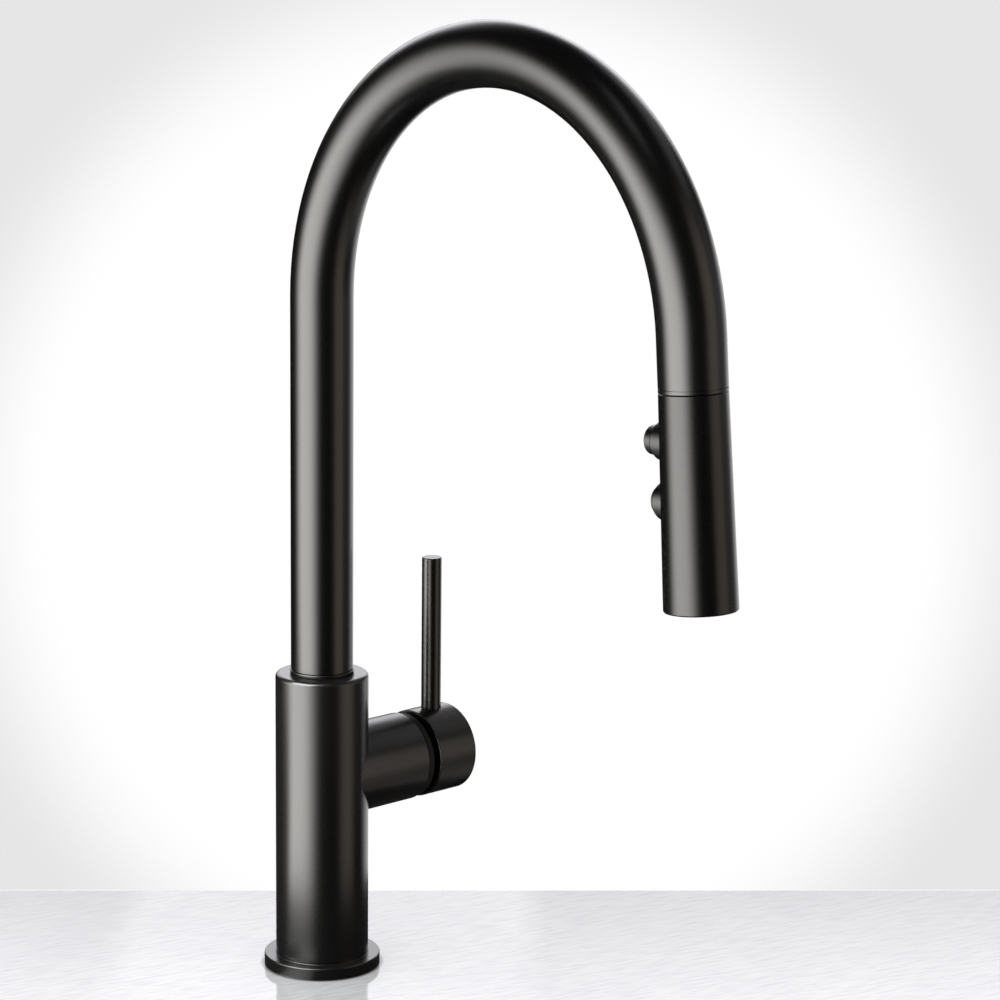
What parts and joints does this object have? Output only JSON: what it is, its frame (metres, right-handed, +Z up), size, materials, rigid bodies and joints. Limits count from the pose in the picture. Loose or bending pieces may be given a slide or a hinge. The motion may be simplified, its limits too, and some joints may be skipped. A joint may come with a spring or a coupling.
{
  "type": "single lever pull-down kitchen mixer",
  "caption": "Satin black kitchen mixer: high arched spout, pull-down spray head with push buttons, and a side lever on a round body.",
  "frame": {"origin": "centre of the base flange on the deck plane", "axes": "+Z up; the spout reaches towards -Y; the handle stands out towards +X"},
  "size_m": [0.1038, 0.2862, 0.717],
  "materials": {
    "satin_black": "satin black, fine even grain",
    "head_black": "satin black, slightly duller than the spout",
    "black_plastic": "satin",
    "matt_black": "matt",
    "grey_plastic": "matt moulded",
    "white_plastic": "smooth moulded",
    "brass": "machined",
    "steel": "brushed",
    "rubber": "matt",
    "silicone": "soft matt",
    "hose_braid": "braided nylon",
    "tail_sleeve": "smooth tube",
    "ceramic": "lapped",
    "lead_free_weight": "cast, painted"
  },
  "bodies": {
    "mixer_base": {"base_flange": "satin_black", "base_gasket": "rubber", "valve_body": "satin_black", "mounting_shank": "brass", "rubber_washer": "rubber", "steel_washer": "steel", "mounting_nut": "grey_plastic", "hot_tail": "tail_sleeve", "cold_tail": "tail_sleeve", "hot_union": "brass", "cold_union": "brass", "outlet_tail": "tail_sleeve", "quick_connector": "brass", "hose_loop": "hose_braid", "glide_washer": "matt_black", "upper_glide_bush": "matt_black", "lower_glide_bush": "white_plastic", "port_seals": "rubber", "cartridge_base": "grey_plastic", "lower_disc": "ceramic", "cartridge_shell": "grey_plastic", "cartridge_nut": "brass", "bonnet_ring": "matt_black"},
    "spout": {"spout_foot": "satin_black", "spout_tube": "satin_black", "spout_retaining_ring": "steel", "docking_ring": "satin_black", "docking_sleeve": "white_plastic", "hose_upper": "hose_braid"},
    "hose_tip": {"hose_end": "hose_braid", "hose_ferrule": "steel", "swivel_nipple": "brass"},
    "spray_head": {"spray_neck": "grey_plastic", "spray_shell": "head_black", "button_bezels": "black_plastic", "spray_core": "grey_plastic", "rocker_pin": "steel", "swivel_seal": "rubber", "check_valve": "white_plastic", "inlet_screen": "steel", "flow_distributor": "grey_plastic", "nozzle_mat": "silicone", "spray_face": "black_plastic", "aerator": "white_plastic"},
    "rocker": {"diverter_rocker": "grey_plastic"},
    "upper_button": {"upper_button": "black_plastic"},
    "lower_button": {"lower_button": "black_plastic"},
    "hose_run": {"hose_riser": "hose_braid", "hose_weight": "lead_free_weight"},
    "valve_rotor": {"cartridge_rotor": "grey_plastic", "pivot_pin": "steel"},
    "valve_disc": {"upper_disc": "ceramic", "disc_carrier": "black_plastic"},
    "handle": {"cartridge_stem": "steel", "handle_hub": "satin_black", "hub_set_screw": "steel", "lever_rod": "satin_black"}
  },
  "joints": [
    {"name": "spout_swivel", "type": "hinge", "parent": "mixer_base", "child": "spout", "pos_m": [0, 0, 0.12], "axis": [0, 0, 1], "continuous": true},
    {"name": "lever_temperature", "type": "hinge", "parent": "mixer_base", "child": "valve_rotor", "pos_m": [0.034, 0, 0.0887], "axis": [1, 0, 0], "range_deg": [-50, 50]},
    {"name": "lever_flow", "type": "hinge", "parent": "valve_rotor", "child": "handle", "pos_m": [0.034, 0, 0.0887], "axis": [0, 1, 0], "range_deg": [0, 25]},
    {"name": "disc_slide", "type": "slide", "parent": "valve_rotor", "child": "valve_disc", "axis": [0, 0, 1], "range_m": [0, 0.0031]},
    {"name": "head_pull", "type": "slide", "parent": "spout", "child": "hose_tip", "axis": [0, -0.0793, -0.9968], "range_m": [0, 0.12], "deforming": ["hose_upper", "hose_loop"]},
    {"name": "head_spin", "type": "hinge", "parent": "hose_tip", "child": "spray_head", "pos_m": [0, -0.22557, 0.2951], "axis": [0, -0.0793, -0.9968], "continuous": true},
    {"name": "hose_rise", "type": "slide", "parent": "mixer_base", "child": "hose_run", "axis": [0, 0, 1], "range_m": [0, 0.12]},
    {"name": "upper_button_press", "type": "slide", "parent": "spray_head", "child": "upper_button", "axis": [0, -0.9968, 0.0793], "range_m": [0, 0.0027]},
    {"name": "lower_button_press", "type": "slide", "parent": "spray_head", "child": "lower_button", "axis": [0, 0.9968, -0.0793], "range_m": [0, 0.0027]},
    {"name": "rocker_tilt", "type": "hinge", "parent": "spray_head", "child": "rocker", "pos_m": [0, -0.22096, 0.26234], "axis": [1, 0, 0], "range_deg": [0, 12.9]}
  ],
  "couplings": [
    {"joint": "disc_slide", "follows": "lever_flow", "m_per_rad": 0.0069},
    {"joint": "hose_rise", "follows": "head_pull", "ratio": 1},
    {"joint": "lower_button_press", "follows": "upper_button_press", "ratio": 1},
    {"joint": "rocker_tilt", "follows": "upper_button_press", "rad_per_m": 83.056}
  ]
}
